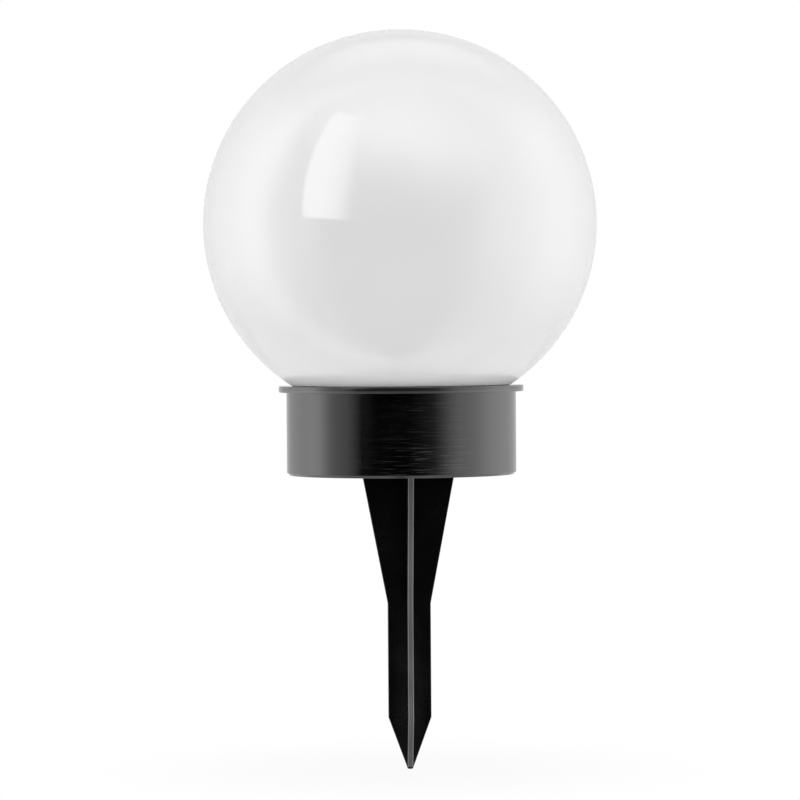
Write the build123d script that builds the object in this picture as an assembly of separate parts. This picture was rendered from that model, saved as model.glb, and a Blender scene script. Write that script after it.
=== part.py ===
from build123d import *
import math
import os

# Solar spike light: an opal globe locked into a round black base, which lifts off a cross-bladed ground spike.
# The origin is on the axis at the underside of the base, +Z up. Sizes are millimetres and degrees.

# Globe
globe_diameter = 150.0
globe_height = 147.9  # of the whole oval, before its foot is cut off
globe_wall = 1.8
oval_runs = 16  # runs between the points of the globe's side
heel_fillet = 0.6
foot_inset = 1.9  # the globe's foot stands this far inside the base's outside
neck_depth = 12.0

# Base
base_diameter = 87.6
base_height = 34.0
base_wall = 3.6
base_floor = 3.4
base_chamfer = 1.0
flange_overhang = 2.9
flange_thickness = 2.45
flange_fillet = 0.4

# Twist lock between globe and base
lock_count = 3
lock_lead = 24.0  # rise of the globe in one whole turn
lock_run_gap = 0.4
lock_face_gap = 0.25
lock_step = 6.0  # widest angle between two sections of a lug or ledge
lock_root = 0.8  # depth that a lug or ledge is sunk into its wall
lug_depth = 2.2
lug_height = 2.2
lug_span = 24.0
lug_rise = 3.85  # lower rim of the neck to the middle of a lug
ledge_height = 2.0

# Globe seal
seal_height = 1.2
seal_gap = 0.2
seat_depth = 1.1
seat_width = 1.2
shoulder_gap = 0.05

# Ground spike
spike_offset = 2.5  # spike axis to the right of the base's axis
spike_length = 112.6
spike_width = 35.4
spike_corner = 1.0
shank_width = 16.45
taper_length = 49.3
point_length = 19.8
tip_width = 1.9
tip_round = 0.8
blade_thickness = 2.2
blade_edge = 0.3
peg_length = 17.0
peg_width = 14.6
peg_lead_in = 1.5
peg_gap = 0.2
blade_pocket = 0.5  # depth of the cross in the underside that keys the blades
pocket_gap = 0.3
boss_wall = 3.5
boss_roof = 2.0

# Deck
deck_gap = 0.6
deck_drop = 0.5  # top of the deck below the rim of the base
deck_thickness = 3.0
deck_edge = 0.5
skirt_wall = 1.6
skirt_depth = 6.0

# Solar panel
recess_floor = 1.2
panel_gap = 0.3
panel_margin = 3.1  # deck between the panel and the lamps
backing_thickness = 1.2
strip_count = 6
strip_gap = 0.8
strip_border = 1.6
strip_thickness = 0.3
window_thickness = 1.2
window_edge = 0.3

# Lamps
led_radius = 2.5
led_rim = 0.4
led_rim_height = 1.0
led_height = 8.6
led_inset = 7.6  # lamp axis in from the edge of the deck
led_gap = 0.1
leg_size = 0.5
leg_pitch = 2.54
leg_tail = 1.5
leg_hole_gap = 0.1

# Driver board
board_thickness = 1.6
board_gap = 1.5  # board to the deck's skirt
board_drop = 5.3  # underside of the deck to the top of the board
chip_length = 5.0
chip_width = 4.0
chip_height = 1.5
chip_lift = 0.15
pin_count = 4
pin_pitch = 1.27
pin_size = 0.4
pin_reach = 1.0
chip_x = -9.0
chip_y = -8.0
inductor_radius = 2.1
inductor_length = 9.0
inductor_edge = 0.5
inductor_x = 9.0
inductor_y = -13.0
capacitor_radius = 2.0
capacitor_height = 4.5
capacitor_edge = 0.4
capacitor_x = -3.0
capacitor_y = -17.0

# Posts and deck screws
post_inset = 7.1  # post axis in from the edge of the deck
post_radius = 3.6
post_neck_radius = 2.6
post_gap = 0.2
post_angles = (75.0, 180.0, -75.0)  # counted from the battery's side
screw_radius = 1.25
screw_bite = 7.0
screw_gap = 0.05
screw_hole_gap = 0.35
head_radius = 2.4
head_height = 1.6
head_gap = 0.3
drive_length = 2.8
drive_width = 0.6
drive_depth = 0.9

# Slide switch
switch_length = 8.5
switch_width = 3.8
switch_height = 4.4
switch_inset = 6.6  # switch axis in from the edge of the deck
switch_travel = 2.0
switch_gap = 0.3
knob_length = 3.0
knob_width = 2.0
knob_sink = 1.5
knob_rise = 2.5  # knob above the deck
knob_edge = 0.4

# Battery: one AAA cell on the rear right side
battery_angle = 45.0
cell_diameter = 10.5
cell_length = 44.5
cell_edge = 0.6
nub_diameter = 3.8
nub_height = 0.8
cell_lift = 0.6  # cell above the battery door
holder_wall = 1.2
holder_gap = 0.4
holder_clear = 0.5  # holder to the base's wall
contact_thickness = 0.4
contact_width = 6.0
contact_lift = 0.2
tab_width = 2.5
tab_rise = 2.3
tab_gap = 0.2
spring_length = 4.7
spring_turns = 3
spring_wire = 0.7
spring_wide = 3.4  # radius of the winding at the contact plate
spring_narrow = 2.4  # radius of the winding at the cell
spring_seat = 0.02

# Battery door
door_thickness = 1.6
door_lip = 1.4
door_gap = 0.3
door_seal_height = 0.5
door_seal_gap = 0.05
hinge_reach = 1.5  # hinge axis beyond the door's seat
barrel_radius = 1.2
barrel_length = 7.0
barrel_gap = 0.4
trunnion_radius = 0.7
trunnion_length = 1.5
trunnion_gap = 0.08
trunnion_end_gap = 0.2
nail_slot_length = 8.0
nail_slot_width = 1.6
nail_slot_depth = 0.7
nail_slot_inset = 4.0

# Leads
lead_diameter = 1.0
lead_edge = 1.2  # lead axis in from the edge of the board
lead_straight = 0.28  # upright share of a battery lead's rise, at each end
panel_lead_place = 3.0
panel_lead_gap = 0.2

# Sizes that follow

base_radius = base_diameter / 2
mouth_radius = base_radius - base_wall
flange_radius = base_radius + flange_overhang
seat_radius = mouth_radius + seat_width
lug_radius = mouth_radius - lock_run_gap
neck_radius = lug_radius - lug_depth
neck_bore = neck_radius - globe_wall
ledge_radius = neck_radius + lock_run_gap

seal_low = base_height - seat_depth
seal_high = seal_low + seal_height
shoulder = seal_high + shoulder_gap
neck_low = shoulder - neck_depth
foot_radius = base_radius - foot_inset
globe_radius = globe_diameter / 2
globe_half_height = globe_height / 2
globe_middle = shoulder + globe_half_height * math.sqrt(1 - (foot_radius / globe_radius) ** 2)
lug_middle = neck_low + lug_rise
ledge_middle = lug_middle + (lug_height + ledge_height) / 2 + lock_face_gap
ledge_span = 180 / lock_count
lock_angles = [360 * index / lock_count for index in range(lock_count)]

spike_top = blade_pocket - peg_gap
peg_top = spike_top + peg_length
socket_top = peg_top + peg_gap
boss_radius = peg_width / 2 + peg_gap + boss_wall
boss_top = socket_top + boss_roof

deck_radius = neck_bore - deck_gap
deck_high = base_height - deck_drop
deck_low = deck_high - deck_thickness
skirt_radius = deck_radius - skirt_wall
led_circle = deck_radius - led_inset
led_rim_radius = led_radius + led_rim
led_low = deck_low - led_gap - led_rim_height
panel_radius = led_circle - led_rim_radius - panel_margin
backing_low = deck_low + recess_floor
strip_low = backing_low + backing_thickness
window_low = strip_low + strip_thickness

board_high = deck_low - board_drop
board_low = board_high - board_thickness
board_radius = skirt_radius - board_gap
leg_hole = leg_size / math.sqrt(2) + leg_hole_gap
post_circle = deck_radius - post_inset
switch_circle = deck_radius - switch_inset
switch_high = board_high + switch_height
knob_low = switch_high - knob_sink

cell_radius = cell_diameter / 2
cell_axis = door_thickness + cell_lift + cell_radius
contact_face = (cell_length + spring_length) / 2
holder_half_length = contact_face + contact_thickness
holder_half_width = cell_radius + holder_gap
holder_roof = cell_axis + cell_radius + holder_gap
holder_high = holder_roof + holder_wall
tab_high = holder_high + tab_rise
holder_corner = holder_half_length + holder_wall
battery_circle = (
    math.sqrt(mouth_radius**2 - holder_corner**2) - holder_clear - holder_half_width - holder_wall
)
battery_turn = Rot(0, 0, battery_angle - 90)  # turns local x along the cell and local y outwards

door_seat_half_length = holder_half_length + door_lip
door_seat_half_width = holder_half_width + door_lip
door_seat_high = door_thickness + door_seal_height + door_seal_gap
hinge_place = door_seat_half_length + hinge_reach
hinge_height = barrel_radius
door_start = door_gap - door_seat_half_length
door_end = hinge_place - math.hypot(hinge_reach + door_gap, hinge_height)  # clears its seat as it swings
door_half_width = door_seat_half_width - door_gap

upright = (Align.CENTER, Align.CENTER, Align.MIN)


def polar(radius, angle):
    return (radius * math.cos(math.radians(angle)), radius * math.sin(math.radians(angle)))


def disc(radius, low, high, place=(0.0, 0.0)):
    return Pos(place[0], place[1], low) * Cylinder(radius, high - low, align=upright)


def slab(length, width, low, high, place=(0.0, 0.0)):
    return Pos(place[0], place[1], low) * Box(length, width, high - low, align=upright)


def cross(length, width, low, high):
    return slab(length, width, low, high) + slab(width, length, low, high)


def lying(radius, start, end, height, place):
    # Cylinder along x
    return Pos(start, place, height) * Rot(0, 90, 0) * Cylinder(radius, end - start, align=upright)


def upright_face(points):
    # Flat face in the XZ plane from its corners (x, z)
    return make_face(Plane.XZ * Polyline(*points, close=True))


def helix_block(inner, outer, height, middle, angle, span):
    # Block on a round wall that climbs with the lock's lead
    steps = math.ceil(span / lock_step)
    sections = []
    for index in range(steps + 1):
        turn = span * (index / steps - 0.5)
        low = middle + lock_lead * turn / 360 - height / 2
        corners = [(inner, low), (outer, low), (outer, low + height), (inner, low + height)]
        sections.append(Rot(0, 0, angle + turn) * upright_face(corners))
    return loft(sections, ruled=True)


# Globe, its lock and its seal


def oval_side(radius, half_height, low):
    # Side of the globe from a low height up to its top
    start = math.asin((low - globe_middle) / half_height)
    turns = [start + (math.pi / 2 - start) * index / oval_runs for index in range(oval_runs)]
    points = [(radius * math.cos(turn), globe_middle + half_height * math.sin(turn)) for turn in turns]
    points.append((0, globe_middle + half_height))
    return Spline(*points)


def make_globe():
    shelf = shoulder + globe_wall
    outer = oval_side(globe_radius, globe_half_height, shoulder)
    inner = oval_side(globe_radius - globe_wall, globe_half_height - globe_wall, shelf)
    foot = Polyline(
        outer @ 0,
        (neck_radius, shoulder),
        (neck_radius, neck_low),
        (neck_bore, neck_low),
        (neck_bore, shelf),
        inner @ 0,
    )
    outline = outer + foot + inner + Line(inner @ 1, outer @ 1)
    seam = Rot(0, 0, 180 / lock_count)  # the revolved face's seam stays clear of the lugs
    body = seam * revolve(make_face(Plane.XZ * outline), Axis.Z)
    for angle in lock_angles:
        body += helix_block(neck_radius - lock_root, lug_radius, lug_height, lug_middle, angle, lug_span)
    rims = body.edges().filter_by(GeomType.CIRCLE)
    heel = rims.sort_by(lambda rim: math.hypot(rim.radius - foot_radius, rim.center().Z - shoulder))[0]
    return fillet(heel, heel_fillet)


def make_globe_seal():
    outer = disc(seat_radius - seal_gap, seal_low, seal_high)
    return outer - disc(neck_radius + seal_gap, seal_low, seal_high)


# Base


def make_base_housing():
    body = disc(base_radius, 0, base_height)
    body = chamfer(body.edges().group_by(Axis.Z)[0], base_chamfer)
    flange = disc(flange_radius, base_height - flange_thickness, base_height)
    body += fillet(flange.edges().filter_by(GeomType.CIRCLE), flange_fillet)
    body -= disc(mouth_radius, base_floor, base_height)
    body -= disc(seat_radius, seal_low, base_height)
    for angle in lock_angles:
        body += helix_block(
            ledge_radius, mouth_radius + lock_root, ledge_height, ledge_middle, angle, ledge_span
        )
    body += disc(boss_radius, 0, boss_top, (spike_offset, 0))
    socket = cross(peg_width + 2 * peg_gap, blade_thickness + 2 * peg_gap, 0, socket_top)
    socket += cross(spike_width + 2 * pocket_gap, blade_thickness + 2 * pocket_gap, 0, blade_pocket)
    body -= Pos(spike_offset, 0, 0) * socket
    for angle in post_angles:
        place = polar(post_circle, battery_angle + angle)
        body += disc(post_radius, 0, board_low, place)
        body += disc(post_neck_radius, 0, deck_low, place)
        body -= disc(screw_radius + screw_gap, deck_low - screw_bite - screw_gap, deck_low, place)
    return body - make_door_opening()


def make_door_opening():
    # Battery opening, the door's seat and the pocket and bores of its hinge
    place = (0, battery_circle)
    pocket_end = hinge_place + barrel_radius + barrel_gap
    pocket_length = pocket_end - holder_half_length
    pocket_place = (holder_half_length + pocket_length / 2, battery_circle)
    pocket_high = hinge_height + barrel_radius + barrel_gap
    bore_half = barrel_length / 2 + trunnion_length + trunnion_end_gap
    room = slab(2 * holder_half_length, 2 * holder_half_width, 0, base_floor, place)
    room += slab(2 * door_seat_half_length, 2 * door_seat_half_width, 0, door_seat_high, place)
    room += slab(pocket_length, barrel_length + 2 * barrel_gap, 0, pocket_high, pocket_place)
    room += hinge_rod(trunnion_radius + trunnion_gap, bore_half)
    return battery_turn * room


def hinge_rod(radius, half_length):
    # Cylinder on the door's hinge axis
    turned = Rot(90, 0, 0) * Cylinder(radius, 2 * half_length)
    return Pos(hinge_place, battery_circle, hinge_height) * turned


# Ground spike


def make_spike():
    half_width = spike_width / 2
    half_shank = shank_width / 2
    half_peg = peg_width / 2
    half_tip = tip_width / 2
    right = [
        (half_tip, -spike_length),
        (half_shank, point_length - spike_length),
        (half_shank, -taper_length),
        (half_width, spike_top),
        (half_peg, spike_top),
        (half_peg, peg_top - peg_lead_in),
        (half_peg - peg_lead_in / 2, peg_top),
    ]
    left = [(-x, z) for x, z in reversed(right)]
    outline = upright_face(right + left)
    corners = outline.vertices().filter_by(lambda v: abs(abs(v.X) - half_width) < blade_edge)
    outline = fillet(corners, spike_corner)
    tip = outline.vertices().group_by(Axis.Z)[0]
    outline = fillet(tip, tip_round)
    blade = extrude(outline, blade_thickness / 2, both=True)
    rims = blade.faces().filter_by(Axis.Y).edges()
    blade = fillet(rims, blade_edge)
    return Pos(spike_offset, 0, 0) * (blade + Rot(0, 0, 90) * blade)


# Deck and solar panel


def make_module_deck():
    body = disc(deck_radius, deck_low - skirt_depth, deck_high)
    body = fillet(body.edges().group_by(Axis.Z)[-1], deck_edge)
    body -= disc(skirt_radius, deck_low - skirt_depth, deck_low)
    body -= disc(panel_radius + panel_gap, backing_low, deck_high)
    for place in led_places.values():
        body -= disc(led_radius + led_gap, deck_low, deck_high, place)
    for angle in post_angles:
        place = polar(post_circle, battery_angle + angle)
        body -= disc(screw_radius + screw_hole_gap, deck_low, deck_high, place)
        body -= disc(head_radius + head_gap, deck_high - head_height, deck_high, place)
    slot_length = knob_length + switch_travel + 2 * switch_gap
    slot = slab(slot_length, knob_width + 2 * switch_gap, deck_low, deck_high, (0, switch_circle))
    body -= battery_turn * slot
    for side in (-1, 1):
        place = (side * panel_lead_place, 0)
        body -= disc(lead_diameter / 2 + panel_lead_gap, deck_low, backing_low, place)
    return body


def make_solar_backing():
    return disc(panel_radius, backing_low, strip_low)


def make_solar_cells():
    # Strips side by side across the round panel
    reach = panel_radius - strip_border
    pitch = (2 * reach + strip_gap) / strip_count
    field = disc(reach, strip_low, window_low)
    strips = Part()
    for index in range(strip_count):
        middle = -reach + pitch * (index + 0.5) - strip_gap / 2
        strips += field & slab(pitch - strip_gap, 2 * reach, strip_low, window_low, (middle, 0))
    return strips


def make_solar_window():
    body = disc(panel_radius, window_low, window_low + window_thickness)
    return fillet(body.edges().group_by(Axis.Z)[-1], window_edge)


# Lamps

led_places = {
    "led_front": polar(led_circle, -90),
    "led_right": polar(led_circle, 0),
    "led_rear": polar(led_circle, 90),
    "led_left": polar(led_circle, 180),
}


def make_led(place):
    dome_middle = led_low + led_height - led_radius
    body = disc(led_rim_radius, led_low, led_low + led_rim_height, place)
    body += disc(led_radius, led_low, dome_middle, place)
    return body + Pos(place[0], place[1], dome_middle) * Sphere(led_radius)


def leg_places():
    # Two legs for each lamp, side by side along the rim of the deck
    places = []
    for x, y in led_places.values():
        for side in (-leg_pitch / 2, leg_pitch / 2):
            places.append((x - y / led_circle * side, y + x / led_circle * side))
    return places


def make_led_leads():
    legs = Part()
    for place in leg_places():
        legs += slab(leg_size, leg_size, board_low - leg_tail, led_low, place)
    return legs


# Driver board and its parts


def make_driver_board():
    body = disc(board_radius, board_low, board_high)
    for angle in post_angles:
        place = polar(post_circle, battery_angle + angle)
        body -= disc(post_neck_radius + post_gap, board_low, board_high, place)
    for place in leg_places():
        body -= disc(leg_hole, board_low, board_high, place)
    return body


def make_driver_chip():
    low = board_high + chip_lift
    body = slab(chip_length, chip_width, low, low + chip_height, (chip_x, chip_y))
    for index in range(pin_count):
        x = chip_x + pin_pitch * (index - (pin_count - 1) / 2)
        pin_high = low + pin_size
        body += slab(pin_size, chip_width + 2 * pin_reach, board_high, pin_high, (x, chip_y))
    return body


def make_inductor():
    half = inductor_length / 2
    height = board_high + inductor_radius
    body = lying(inductor_radius, inductor_x - half, inductor_x + half, height, inductor_y)
    return chamfer(body.edges().filter_by(GeomType.CIRCLE), inductor_edge)


def make_capacitor():
    place = (capacitor_x, capacitor_y)
    body = disc(capacitor_radius, board_high, board_high + capacitor_height, place)
    return fillet(body.edges().group_by(Axis.Z)[-1], capacitor_edge)


def make_deck_screws():
    screws = Part()
    head_low = deck_high - head_height
    for angle in post_angles:
        place = polar(post_circle, battery_angle + angle)
        screw = disc(screw_radius, deck_low - screw_bite, head_low, place)
        screw += disc(head_radius, head_low, deck_high, place)
        drive = cross(drive_length, drive_width, deck_high - drive_depth, deck_high)
        screws += screw - Pos(place[0], place[1], 0) * drive
    return screws


# Slide switch


def make_switch_body():
    place = (0, switch_circle)
    body = slab(switch_length, switch_width, board_high, switch_high, place)
    slot_length = knob_length + switch_travel + 2 * switch_gap
    slot_low = knob_low - switch_gap
    body -= slab(slot_length, knob_width + 2 * switch_gap, slot_low, switch_high, place)
    return battery_turn * body


def make_switch_knob():
    # Stored at the start of its travel
    place = (-switch_travel / 2, switch_circle)
    body = slab(knob_length, knob_width, knob_low, deck_high + knob_rise, place)
    body = fillet(body.edges().group_by(Axis.Z)[-1], knob_edge)
    return battery_turn * body


# Battery, its holder and contacts


def make_battery_holder():
    place = (0, battery_circle)
    outer_length = 2 * (holder_half_length + holder_wall)
    outer_width = 2 * (holder_half_width + holder_wall)
    body = slab(outer_length, outer_width, base_floor, holder_high, place)
    body -= slab(2 * holder_half_length, 2 * holder_half_width, base_floor, holder_roof, place)
    slot_length = contact_thickness + tab_gap
    for side in (-1, 1):
        slot_place = (side * (holder_half_length - slot_length / 2), battery_circle)
        body -= slab(slot_length, tab_width + 2 * tab_gap, holder_roof, holder_high, slot_place)
    return battery_turn * body


def make_battery_cell():
    nub_base = contact_face - nub_height
    start = contact_face - cell_length
    body = lying(cell_radius, start, nub_base, cell_axis, battery_circle)
    body = fillet(body.edges().filter_by(GeomType.CIRCLE), cell_edge)
    body += lying(nub_diameter / 2, nub_base, contact_face, cell_axis, battery_circle)
    return battery_turn * body


def make_contact(side):
    # Plate against the end of the holder, with a tab through its roof
    place = (side * (contact_face + contact_thickness / 2), battery_circle)
    low = base_floor + contact_lift
    body = slab(contact_thickness, contact_width, low, holder_roof, place)
    body += slab(contact_thickness, tab_width, low, tab_high, place)
    return battery_turn * body


def spring_point(turn):
    # Point and direction on the winding after a number of turns
    run = spring_length - spring_wire - 2 * spring_seat
    rate = run / spring_turns
    narrowing = (spring_wide - spring_narrow) / spring_turns
    radius = spring_wide - narrowing * turn
    angle = 2 * math.pi * turn
    across = Vector(0, math.cos(angle), math.sin(angle))
    along = Vector(0, -math.sin(angle), math.cos(angle))
    start = Vector(-contact_face + spring_seat + spring_wire / 2, battery_circle, cell_axis)
    point = start + Vector(rate * turn, 0, 0) + across * radius
    direction = Vector(rate, 0, 0) + along * (2 * math.pi * radius) - across * narrowing
    return point, direction.normalized()


def make_battery_spring():
    # Each quarter turn is two tangent arcs
    arcs = []
    quarters = 4 * spring_turns
    for index in range(quarters):
        start, start_way = spring_point(index / 4)
        end, end_way = spring_point((index + 1) / 4)
        chord = end - start
        both = start_way + end_way
        square = 2 * (1 - start_way.dot(end_way))
        reach = (math.sqrt(chord.dot(both) ** 2 + square * chord.dot(chord)) - chord.dot(both)) / square
        start_corner = start + start_way * reach
        end_corner = end - end_way * reach
        middle = (start_corner + end_corner) * 0.5
        arcs.append(TangentArc(start, middle, tangent=start_way))
        arcs.append(TangentArc(middle, end, tangent=end_corner - start_corner))
    path = Wire([arc.edge() for arc in arcs])
    section = Plane(path @ 0, z_dir=path % 0) * Circle(spring_wire / 2)
    return battery_turn * sweep(section, path=path)


def spring_clearance():
    # Least gap between one turn of the spring and the next, measured on points
    samples = 36
    points = [spring_point(index / samples)[0] for index in range(samples * spring_turns + 1)]
    gaps = []
    for first, point in enumerate(points):
        for other in points[first + samples // 2 :]:
            gaps.append((other - point).length)
    return min(gaps) - spring_wire


# Battery door


def door_plate(low, high):
    place = ((door_start + door_end) / 2, battery_circle)
    return slab(door_end - door_start, 2 * door_half_width, low, high, place)


def make_battery_door():
    body = door_plate(0, door_thickness)
    arm_start = door_end - door_lip
    arm_place = ((arm_start + hinge_place) / 2, battery_circle)
    body += slab(hinge_place - arm_start, barrel_length, 0, door_thickness, arm_place)
    body += hinge_rod(barrel_radius, barrel_length / 2)
    body += hinge_rod(trunnion_radius, barrel_length / 2 + trunnion_length)
    slot_place = (nail_slot_inset - door_seat_half_length, battery_circle)
    body -= slab(nail_slot_width, nail_slot_length, 0, nail_slot_depth, slot_place)
    return battery_turn * body


def make_door_seal():
    # Gasket on the rim of the door
    place = (0, battery_circle)
    high = door_thickness + door_seal_height
    body = door_plate(door_thickness, high)
    body -= slab(2 * holder_half_length, 2 * holder_half_width, door_thickness, high, place)
    return battery_turn * body


# Leads


def make_battery_lead(side):
    tab_x = side * (contact_face + contact_thickness / 2)
    tab_angle = math.degrees(math.atan2(battery_circle, tab_x))
    board_x, board_y = polar(board_radius - lead_edge, tab_angle)
    rise = board_low - tab_high
    points = [
        Vector(tab_x, battery_circle, tab_high),
        Vector(tab_x, battery_circle, tab_high + lead_straight * rise),
        Vector(board_x, board_y, board_low - lead_straight * rise),
        Vector(board_x, board_y, board_low),
    ]
    turn = (points[1] - points[0]).get_angle(points[2] - points[1])
    radius = 0.45 * lead_straight * rise / math.tan(math.radians(turn / 2))
    print("battery lead bend radius", round(radius, 2))
    path = FilletPolyline(*points, radius=[radius, radius])
    section = Plane(path @ 0, z_dir=path % 0) * Circle(lead_diameter / 2)
    return battery_turn * sweep(section, path=path)


def make_panel_lead(side):
    return disc(lead_diameter / 2, board_high, backing_low, (side * panel_lead_place, 0))


nodes = {
    "globe": make_globe(),
    "globe_seal": make_globe_seal(),
    "base_housing": make_base_housing(),
    "spike": make_spike(),
    "module_deck": make_module_deck(),
    "deck_screws": make_deck_screws(),
    "solar_backing": make_solar_backing(),
    "solar_cells": make_solar_cells(),
    "solar_window": make_solar_window(),
    "led_leads": make_led_leads(),
    "driver_board": make_driver_board(),
    "driver_chip": make_driver_chip(),
    "inductor": make_inductor(),
    "capacitor": make_capacitor(),
    "switch_body": make_switch_body(),
    "switch_knob": make_switch_knob(),
    "battery_holder": make_battery_holder(),
    "battery_cell": make_battery_cell(),
    "battery_spring": make_battery_spring(),
    "spring_plate": make_contact(-1),
    "positive_contact": make_contact(1),
    "battery_door": make_battery_door(),
    "door_seal": make_door_seal(),
    "battery_lead_positive": make_battery_lead(1),
    "battery_lead_negative": make_battery_lead(-1),
    "panel_lead_positive": make_panel_lead(1),
    "panel_lead_negative": make_panel_lead(-1),
}
for name, place in led_places.items():
    nodes[name] = make_led(place)

print("battery spring least gap", round(spring_clearance(), 2))
os.makedirs("parts", exist_ok=True)
for name, shape in nodes.items():
    export_step(shape, f"parts/{name}.step")
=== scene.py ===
import math
import bpy
from mathutils import Matrix, Vector


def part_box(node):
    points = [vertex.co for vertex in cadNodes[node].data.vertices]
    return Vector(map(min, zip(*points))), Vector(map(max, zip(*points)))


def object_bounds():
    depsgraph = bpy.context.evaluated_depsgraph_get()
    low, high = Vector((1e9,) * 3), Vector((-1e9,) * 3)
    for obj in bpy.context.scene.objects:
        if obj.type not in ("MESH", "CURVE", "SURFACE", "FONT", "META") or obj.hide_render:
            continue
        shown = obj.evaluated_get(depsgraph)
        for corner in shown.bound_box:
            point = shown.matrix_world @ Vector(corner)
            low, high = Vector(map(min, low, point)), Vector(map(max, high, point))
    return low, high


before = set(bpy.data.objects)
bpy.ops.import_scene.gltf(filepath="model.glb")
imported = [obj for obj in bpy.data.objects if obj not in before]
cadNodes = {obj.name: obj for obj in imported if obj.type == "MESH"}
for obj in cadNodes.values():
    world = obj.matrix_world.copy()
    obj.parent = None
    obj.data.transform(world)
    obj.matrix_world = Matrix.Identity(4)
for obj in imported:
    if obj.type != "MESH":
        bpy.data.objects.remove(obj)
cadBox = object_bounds()
mm = 0.001


# Node helpers

def addNode(tree, kind, **settings):
    node = tree.nodes.new(kind)
    for name, value in settings.items():
        setattr(node, name, value)
    return node


def feed(tree, socket, value):
    if isinstance(value, bpy.types.NodeSocket):
        tree.links.new(value, socket)
    else:
        socket.default_value = value


def doMath(tree, operation, *values):
    node = addNode(tree, "ShaderNodeMath", operation=operation)
    for socket, value in zip(node.inputs, values):
        feed(tree, socket, value)
    return node.outputs["Value"]


def doVector(tree, operation, *values):
    node = addNode(tree, "ShaderNodeVectorMath", operation=operation)
    for socket, value in zip(node.inputs, values):
        feed(tree, socket, value)
    plain = operation in ("DOT_PRODUCT", "LENGTH")
    return node.outputs["Value" if plain else "Vector"]


def remap(tree, value, fromLow, fromHigh, toLow, toHigh, smooth=False):
    node = addNode(tree, "ShaderNodeMapRange")
    node.interpolation_type = "SMOOTHSTEP" if smooth else "LINEAR"
    for name, number in (("Value", value), ("From Min", fromLow), ("From Max", fromHigh),
                         ("To Min", toLow), ("To Max", toHigh)):
        feed(tree, node.inputs[name], number)
    return node.outputs["Result"]


def mixColours(tree, share, first, second):
    node = addNode(tree, "ShaderNodeMix", data_type="RGBA")
    feed(tree, node.inputs["Factor"], share)
    feed(tree, node.inputs["A"], first)
    feed(tree, node.inputs["B"], second)
    return node.outputs["Result"]


def ramp(tree, value, stops):
    node = addNode(tree, "ShaderNodeValToRGB")
    elements = node.color_ramp.elements
    while len(elements) < len(stops):
        elements.new(1.0)
    for element, (place, level) in zip(elements, stops):
        element.position = place
        element.color = (level, level, level, 1.0)
    feed(tree, node.inputs["Fac"], value)
    return node.outputs["Color"]


def noise(tree, vector, scale, detail=2.0, roughness=0.5):
    node = addNode(tree, "ShaderNodeTexNoise")
    feed(tree, node.inputs["Vector"], vector)
    feed(tree, node.inputs["Scale"], scale)
    node.inputs["Detail"].default_value = detail
    node.inputs["Roughness"].default_value = roughness
    return node.outputs["Fac"]


def bump(tree, height, distance, strength=1.0):
    node = addNode(tree, "ShaderNodeBump")
    node.inputs["Strength"].default_value = strength
    node.inputs["Distance"].default_value = distance
    feed(tree, node.inputs["Height"], height)
    return node.outputs["Normal"]


def restPlace(tree):
    return addNode(tree, "ShaderNodeTexCoord").outputs["Object"]


def restNormal(tree):
    return addNode(tree, "ShaderNodeTexCoord").outputs["Normal"]


def splitAxes(tree, vector):
    node = addNode(tree, "ShaderNodeSeparateXYZ")
    feed(tree, node.inputs["Vector"], vector)
    return node.outputs["X"], node.outputs["Y"], node.outputs["Z"]


def lineMask(tree, value, pitch, share):  # lines at a fixed pitch
    turn = doMath(tree, "FRACT", doMath(tree, "DIVIDE", value, pitch))
    return doMath(tree, "LESS_THAN", turn, share)


def farFrom(tree, value, middle, reach):  # 1 where the value is further than reach from the middle
    away = doMath(tree, "ABSOLUTE", doMath(tree, "SUBTRACT", value, middle))
    return doMath(tree, "GREATER_THAN", away, reach)


def middleOf(name):
    low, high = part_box(name)
    return (low + high) / 2


# Shared effects, each one node group

def startGroup(name, inputs, outputs):
    tree = bpy.data.node_groups.new(name, "ShaderNodeTree")
    for socketName, value in inputs.items():
        socket = tree.interface.new_socket(socketName, in_out="INPUT", socket_type="NodeSocketFloat")
        socket.default_value = value
    for socketName in outputs:
        tree.interface.new_socket(socketName, in_out="OUTPUT", socket_type="NodeSocketFloat")
    inside = addNode(tree, "NodeGroupInput")
    outside = addNode(tree, "NodeGroupOutput")
    return tree, inside.outputs, outside.inputs


turnedLinesLook = {
    "streakScale": (1.2, 1.2, 0.75),  # of the streaks against the lines, around and along
    "line": (0.36, 0.60),  # noise where a line starts, and where it is full
    "streak": (0.56, 0.76),
}


def makeTurnedLines():  # fine lines round the axis, with streaks that vary the roughness and carry the base's painted highlight streaks
    tree, given, result = startGroup(
        "Turned lines", {"Around": 30.0, "Along": 2600.0}, ("Height", "Line", "Streak"))
    stretch = addNode(tree, "ShaderNodeCombineXYZ")
    tree.links.new(given["Around"], stretch.inputs["X"])
    tree.links.new(given["Around"], stretch.inputs["Y"])
    tree.links.new(given["Along"], stretch.inputs["Z"])
    place = doVector(tree, "MULTIPLY", restPlace(tree), stretch.outputs["Vector"])
    tree.links.new(noise(tree, place, 1.0, detail=3.0, roughness=0.6), result["Height"])
    wide = doVector(tree, "MULTIPLY", place, turnedLinesLook["streakScale"])
    drawn = noise(tree, wide, 1.0, detail=4.0, roughness=0.65)
    tree.links.new(remap(tree, drawn, *turnedLinesLook["line"], 0.0, 1.0), result["Line"])
    tree.links.new(remap(tree, drawn, *turnedLinesLook["streak"], 0.0, 1.0), result["Streak"])
    return tree


mouldedGrainLook = {
    "slowScale": 0.02,  # of the slow change against the grain
    "mottle": (0.3, 0.7),
}


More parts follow.
